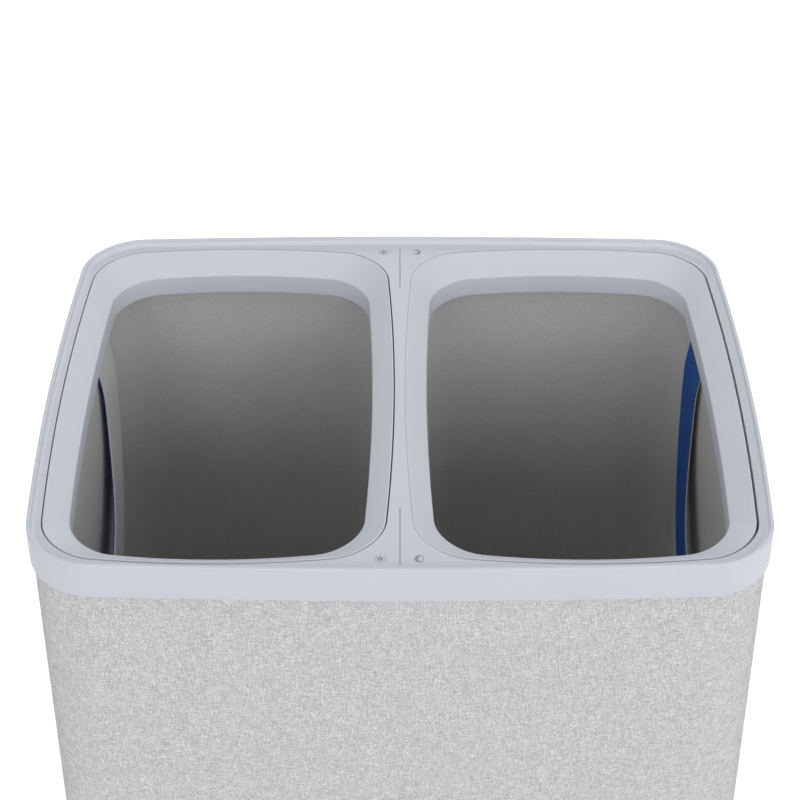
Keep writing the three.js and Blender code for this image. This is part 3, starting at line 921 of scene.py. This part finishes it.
def calmed(moved, grid, plan):
    """The cloth's movement, smoothed and kept small.

    It fades out where the hem, the handles or the foot hold the cloth.
    """
    for _ in range(CALM_PASSES):
        sides = (np.roll(moved, 1, axis=1) + np.roll(moved, -1, axis=1)) / 2
        padded = np.concatenate([moved[:1], moved, moved[-1:]])
        moved = moved * 0.5 + (sides + (padded[:-2] + padded[2:]) / 2) * 0.25
    outward = outwards(grid)
    reach = np.clip((moved * outward).sum(axis=2), -SAG_INWARD, SAG_OUTWARD)
    depth = grid[0, 0, 2] - grid[:, :, 2]
    by_handle = smooth_step(abs((grid[:, :, 0] - plan.x) / plan.half_x), *HANDLE_ZONE)
    free = smooth_step(depth, *LOOSE_DEPTH) * (1 - by_handle)
    free += smooth_step(depth, *LOOSE_DEPTH_HANDLE) * by_handle
    free *= smooth_step(grid[:, :, 2] - grid[-1, 0, 2], 0, FOOT_HOLD)
    return outward * (reach * free)[:, :, None]


@lru_cache(None)
def left_slack():
    """The left bag's cloth, hung once. The right bag has the same, turned half round."""
    grid, plan = bag_grid("left")
    return calmed(slack(grid), grid, plan)


def bag_ring(plan, distance, z):
    return at_height(plan.inset(distance).outline(**BAG_STEPS), z)


def bag_grid(side):
    plan = aperture_plan(side)
    hem, (wall, foot) = bag_section(side)
    start = hem[-1][1]
    rings = []
    for row in range(WALL_ROWS + 1):
        z = start + (foot + BAG_FOOT_ROUND - start) * row / WALL_ROWS
        rings.append(bag_ring(plan, wall + BAG_TAPER * (start - z) / (start - foot), z))
    return np.array(rings), plan


def make_bag(side):
    hem, (wall, foot) = bag_section(side)
    grid, plan = bag_grid(side)
    moved = left_slack()
    if side == "right":
        moved = np.roll(moved, grid.shape[1] // 2, axis=1) * [-1, -1, 1]
    # The cloth's own seam is at the front corner beside the divider
    per_corner = BAG_STEPS["corner_steps"] + BAG_STEPS["side_steps"]
    seam = (3 if side == "left" else 2) * per_corner + BAG_STEPS["corner_steps"] // 2
    grid = np.roll(grid + moved, -seam, axis=1)

    def rings_at(places):
        return [np.roll(bag_ring(plan, *place), -seam, axis=0) for place in places]

    corner = (wall + BAG_TAPER, foot)
    above = (corner[0] - BAG_TAPER * BAG_FOOT_ROUND / (grid[0, 0, 2] - foot), foot + BAG_FOOT_ROUND)
    beyond = (corner[0] + BAG_FOOT_ROUND, foot)
    foot_round = round_corner(above, corner, beyond, BAG_FOOT_ROUND * 0.9, steps=4)
    rings = [*rings_at(hem[:-1]), *grid, *rings_at(foot_round)]
    shape = Shape()
    made = []
    travelled = 0
    for i, points in enumerate(rings):
        if i:
            travelled += float(np.linalg.norm(points - rings[i - 1], axis=1).mean())
        made.append(shape.cloth_ring(points, travelled))
    shape.loft(made[::-1])
    add_bottom_panel(shape, rings[-1], plan.x)
    piece = shape.build(f"{side}_bag_shell", bag_cloth, sharp_angle=80, weld=True)
    modifier = piece.modifiers.new("thickness", "SOLIDIFY")
    modifier.thickness = BAG_THICKNESS
    modifier.offset = 0
    modifier.use_even_offset = True
    install(piece, f"{side}_bag", "bag_cloth", f"{side}_bag")
    make_bag_seams(side, Wall(grid))


def add_bottom_panel(shape, edge, x):
    """Rings from the edge of a bag's bottom in to its middle."""
    other_cloth = 2  # how far the panel is from the wall, on the cloth

    def panel_ring(points):
        return shape.add(points, [(p[0], p[1] + other_cloth, 0) for p in points])

    centre = np.array([x, 0, edge[0][2]])
    outer = panel_ring(edge)
    for share in np.linspace(0.9, 0.1, 9):
        inner = panel_ring(centre + (edge - centre) * share)
        shape.bridge(inner, outer)
        outer = inner
    middle = panel_ring([centre])[0]
    shape.faces += [(middle, point, after) for point, after in zip(outer, outer[1:] + outer[:1])]


def make_bag_seams(side, bag):
    """The tape over the wall's seam, the tape that binds the foot, and the rows of stitches."""
    face = BAG_THICKNESS / 2
    sunk, raised = face - TAPE_SINK, face + TAPE_RISE
    strips, rows_of_stitches = Shape(), Shape()

    def sew(places, distance, outward=1):
        path = [bag.off(*place, distance) for place in places]
        normals = [bag.normal(*place) * outward for place in places]
        stitch_row(rows_of_stitches, path, normals, BAG_STITCH)

    last = bag.rows - 1
    column_width = float(np.linalg.norm(bag.at(last / 2, 0.5) - bag.at(last / 2, -0.5)))
    half, edge = TAPE_HALF / column_width, TAPE_EDGE / column_width
    section = [(-half, sunk), (-half + edge, raised), (0, raised), (half - edge, raised), (half, sunk)]
    grid_step = 0.01  # about how far apart the wall's points are
    tape_place, binding_place = 0.5, 1  # on the cloth
    heights = np.linspace(0.6, last - 0.2, 80)
    strips.rod([
        strips.add([bag.off(row, column, distance) for column, distance in section],
                   [(column * grid_step + tape_place, row * grid_step, 0) for column, _ in section])
        for row in heights[::-1]
    ])
    for column in (-half + edge * 3, half - edge * 3):
        sew([(row, column) for row in heights], raised)

    row_height = float(np.linalg.norm(bag.at(last, 0) - bag.at(last - 1, 0)))
    bound = face + BINDING_RISE
    binding = [(0, sunk), (BINDING_EDGE, bound), (BINDING_HEIGHT - BINDING_EDGE, bound),
               (BINDING_HEIGHT, sunk)]
    rings = []
    for height, distance in binding:
        row = last - height / row_height
        ring = np.array([bag.off(row, column, distance) for column in range(bag.columns)])
        rings.append(strips.cloth_ring(ring, row * row_height + binding_place))
    strips.loft(rings, looped=True)

    stretch = np.linspace(0, bag.columns, bag.columns * 2 + 1)
    hem_row = HEM_STITCHES / row_height
    for row, distance, outward in [
        (last - BINDING_HEIGHT / 2 / row_height, bound, 1),
        (hem_row, face, 1),
        (hem_row, -face, -1),
    ]:
        sew([(row, column) for column in stretch], distance, outward)
    install(strips.build(f"{side}_bag_tapes", bag_cloth, sharp_angle=60), f"{side}_bag", "bag_cloth")
    piece = rows_of_stitches.build(f"{side}_bag_stitches", seam_thread, sharp_angle=80)
    install(piece, f"{side}_bag", "bag_cloth")


def make_board(side):
    node = f"{side}_bag_base_board"
    low, high = node_box(node)
    shape = Shape()
    inner = BOARD_EDGE + SUPPORT
    corners = [(inner, low.z), (0, low.z), (0, high.z), (inner, high.z)]
    section = rounded(corners, [0, BOARD_EDGE, BOARD_EDGE, 0])[1:]
    rings = shape.rings(plan_of_box(node, BOARD_RADIUS, APERTURE_BOWS), section)
    shape.loft(rings)
    shape.fill(rings[0], up=False)
    shape.fill(rings[-1])
    install(shape.build(f"{side}_bag_stiffener", board_plastic), f"{side}_bag", "board_plastic", node)


# Handles: a webbing loop that hangs flat against the bag's side wall
def handle_line(node):
    """The loop's middle line as (y, z, turn, stand): down one leg, round the bottom and up the other.

    stand is how far the webbing is from the wall.
    """
    low, high = node_box(node)
    radius = (high.y - low.y) / 2 - WEBBING_WIDTH / 2
    centre = high.z - HANDLE_LEG
    legs = 14
    arc = 40
    leg = []
    for i in range(legs):
        share = i / legs
        leg.append((high.z - HANDLE_LEG * share, HANDLE_LEAN * float(smooth_step(share, SEWN_PART, 1))))
    points = [(-radius, z, 0, stand) for z, stand in leg]
    for i in range(arc + 1):
        turn = math.pi * i / arc
        stand = HANDLE_LEAN + HANDLE_BELLY * math.sin(turn) ** 2
        points.append((-radius * math.cos(turn), centre - radius * math.sin(turn), turn, stand))
    return points + [(radius, z, math.pi, stand) for z, stand in reversed(leg)]


def wall_distance(side, y, z):
    """From the bag's middle to the inner face of its side wall."""
    low, high = node_box(f"{side}_bag")
    plan = aperture_plan(side).inset(BAG_INSET + BAG_THICKNESS)
    share = (high.z - z) / (high.z - low.z)
    return plan.half_x - plan.bow_x * (y / plan.half_y) ** 2 - BAG_TAPER * share


def webbing_section():
    """Places across the webbing and over the wall, round its rounded edges."""
    edge = WEBBING_THICKNESS / 2
    flat_half = WEBBING_WIDTH / 2 - edge
    flat = np.linspace(-1, 1, 13) * flat_half
    crown = WEBBING_CROWN * (1 - (flat * 2 / WEBBING_WIDTH) ** 8)
    turns = np.radians([-60, -30, 0, 30, 60])
    half_round = [(x, -c) for x, c in zip(flat, crown)]
    half_round += [(flat_half + edge * math.cos(a), edge + edge * math.sin(a)) for a in turns]
    return half_round + [(-x, WEBBING_THICKNESS - lift) for x, lift in half_round]


def make_handle(side, wall_name, wall):
    node = f"{side}_bag_{wall_name}_handle"
    middle = aperture_plan(side).x
    line = handle_line(node)
    pale_side = -wall

    def on_wall(y, z, lift):
        return np.array([middle + wall * (wall_distance(side, y, z) - WALL_GAP - lift), y, z])

    shape = Shape()
    rings = []
    for (y, z, turn, stand), travelled in zip(line, lengths_along([place[:2] for place in line])):
        ring, cloth = [], []
        for edge, lift in webbing_section():
            ring.append(on_wall(y + edge * math.cos(turn), z + edge * math.sin(turn), stand + lift))
            cloth.append((edge, travelled, pale_side * (lift - WEBBING_THICKNESS / 2)))
        rings.append(shape.add(ring, cloth))
    shape.rod([ring[::-1] for ring in rings] if wall > 0 else rings)
    piece = shape.build(f"{side}_bag_{wall_name}_webbing", handle_webbing, sharp_angle=60)
    install(piece, f"{side}_bag", "handle_webbing", node)

    # The crossed box of stitches that holds each leg
    shape = Shape()
    top = line[0][1] - SEWN_BOX_INSET
    bottom = top - SEWN_BOX_HEIGHT
    reach = WEBBING_WIDTH / 2 - SEWN_BOX_INSET
    shares = np.linspace(0, 1, 12)[:, None]
    for y, *_ in (line[0], line[-1]):
        corners = np.array([(y - reach, top), (y + reach, top), (y + reach, bottom), (y - reach, bottom)])
        for a, b in [(0, 1), (1, 2), (2, 3), (3, 0), (0, 2), (1, 3)]:
            flat = corners[a] * (1 - shares) + corners[b] * shares
            path = [on_wall(*place, WEBBING_THICKNESS + 0.0001) for place in flat]
            stitch_row(shape, path, [(-wall, 0, 0)] * len(path), HANDLE_STITCH)
    piece = shape.build(f"{side}_bag_{wall_name}_webbing_stitches", seam_thread, sharp_angle=80)
    install(piece, f"{side}_bag", "handle_webbing")


# Feet and their screws
def round_node(node):
    """The middle of a round node seen from above, its radius, and its lowest and highest z."""
    low, high = node_box(node)
    return (low.x + high.x) / 2, (low.y + high.y) / 2, (high.x - low.x) / 2, low.z, high.z


def make_foot(end, side):
    node = f"foot_{end}_{side}"
    x, y, radius, low, high = round_node(node)
    waist = radius - 0.0025
    recess, recess_top = 0.0043, 0.0051
    hole = 0.0023
    middle = high / 2
    sharp, soft = 0.0004, 0.0008
    section = rounded(
        [(recess, 0), (waist, 0), (radius, middle), (radius, high), (hole, high),
         (hole, recess_top), (recess, recess_top)],
        [sharp, soft, soft, sharp, 0, 0, 0],
    )
    shape = Shape()
    shape.loft(shape.turned(section, x, y), looped=True)
    install(shape.build(f"{node}_pad", foot_rubber), "root", "foot_rubber", node)


def make_screw(end, side):
    node = f"foot_screw_{end}_{side}"
    x, y, head, low, high = round_node(node)
    head_top = low + 0.0026
    bevel = 0.0008
    drive = 0.0022  # the flat in the middle of the head
    shank, core, tip = 0.002, 0.0015, 0.0003
    turns = 7
    threads_from = head_top + 0.001
    pitch = (high - 0.0015 - threads_from) / turns
    section = [(drive, low), (head - bevel, low), (head, low + bevel), (head, head_top), (shank, head_top)]
    for turn in range(turns):
        z = threads_from + pitch * turn
        section += [(core, z + pitch * 0.25), (shank, z + pitch * 0.5), (core, z + pitch * 0.75)]
    section.append((tip, high))
    shape = Shape()
    shape.rod(shape.turned(section, x, y, steps=24))
    install(shape.build(f"{node}_body", screw_steel), "root", "screw_steel", node)


def dress_cad_nodes():
    finishes = {"base_tray": tray_plastic, "left_bag_hoop": hoop_plastic, "right_bag_hoop": hoop_plastic}
    for node, material in finishes.items():
        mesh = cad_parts[node].data
        mesh.materials.clear()
        mesh.materials.append(material)


# Stage, lamps and camera
def make_floor():
    graph = Graph("floor")
    graph.surface(base_color=FLOOR_COLOR, roughness=0.9, specular_ior_level=0.1)
    strength = graph.math("MULTIPLY", graph.seen(), FLOOR_GLOW)
    glow = graph.node("Emission", {"Color": (1, 1, 1, 1), "Strength": strength})
    both = graph.node("AddShader", {0: graph.shader.outputs[0], 1: glow.outputs[0]})
    graph.set(graph.tree.nodes["Material Output"].inputs["Surface"], both.outputs[0])
    shape = Shape()
    corners = np.array([(-1, -1), (1, -1), (1, 1), (-1, 1)]) * FLOOR_HALF
    shape.fill(shape.add(at_height(corners, 0)))
    shape.build("floor", graph.owner)


def make_world():
    """White to the camera and in reflections, and dimmer as a light."""
    graph = Graph("studio", bpy.data.worlds)
    background = graph.tree.nodes["Background"].inputs
    background["Color"].default_value = (1, 1, 1, 1)
    span = {"Value": graph.seen(), "To Min": WORLD_STRENGTH, "To Max": 1}
    graph.set(background["Strength"], graph.node("MapRange", span).outputs[0])
    bpy.context.scene.world = graph.owner


def make_lamps():
    target = Vector((0, 0, LIP_TOP))
    for name, (place, size, power) in LAMPS.items():
        light = bpy.data.lights.new(name, "AREA")
        light.shape = "RECTANGLE"
        light.size, light.size_y = size
        light.energy = power
        lamp = new_object(name, light)
        lamp.location = place
        lamp.rotation_euler = (target - Vector(place)).to_track_quat("-Z", "Y").to_euler()


def make_camera():
    camera = new_object("camera", bpy.data.cameras.new("camera"))
    camera.data.lens = CAMERA_LENS
    camera.data.sensor_width = SENSOR_WIDTH
    camera.location = CAMERA_PLACE
    camera.rotation_euler = (math.pi / 2 - CAMERA_PITCH, 0, 0)
    bpy.context.scene.camera = camera


make_camera()
make_world()
make_floor()
make_lamps()
bpy.context.scene.view_settings.view_transform = "Standard"

make_rim()
make_prints()
make_shell()
make_cover()
make_cover_seam()
for side in SIDES:
    make_bag_frame(side)
    make_bag(side)
    make_board(side)
    make_handle(side, "left", -1)
    make_handle(side, "right", 1)
for end in ENDS:
    for side in SIDES:
        make_foot(end, side)
        make_screw(end, side)
dress_cad_nodes()
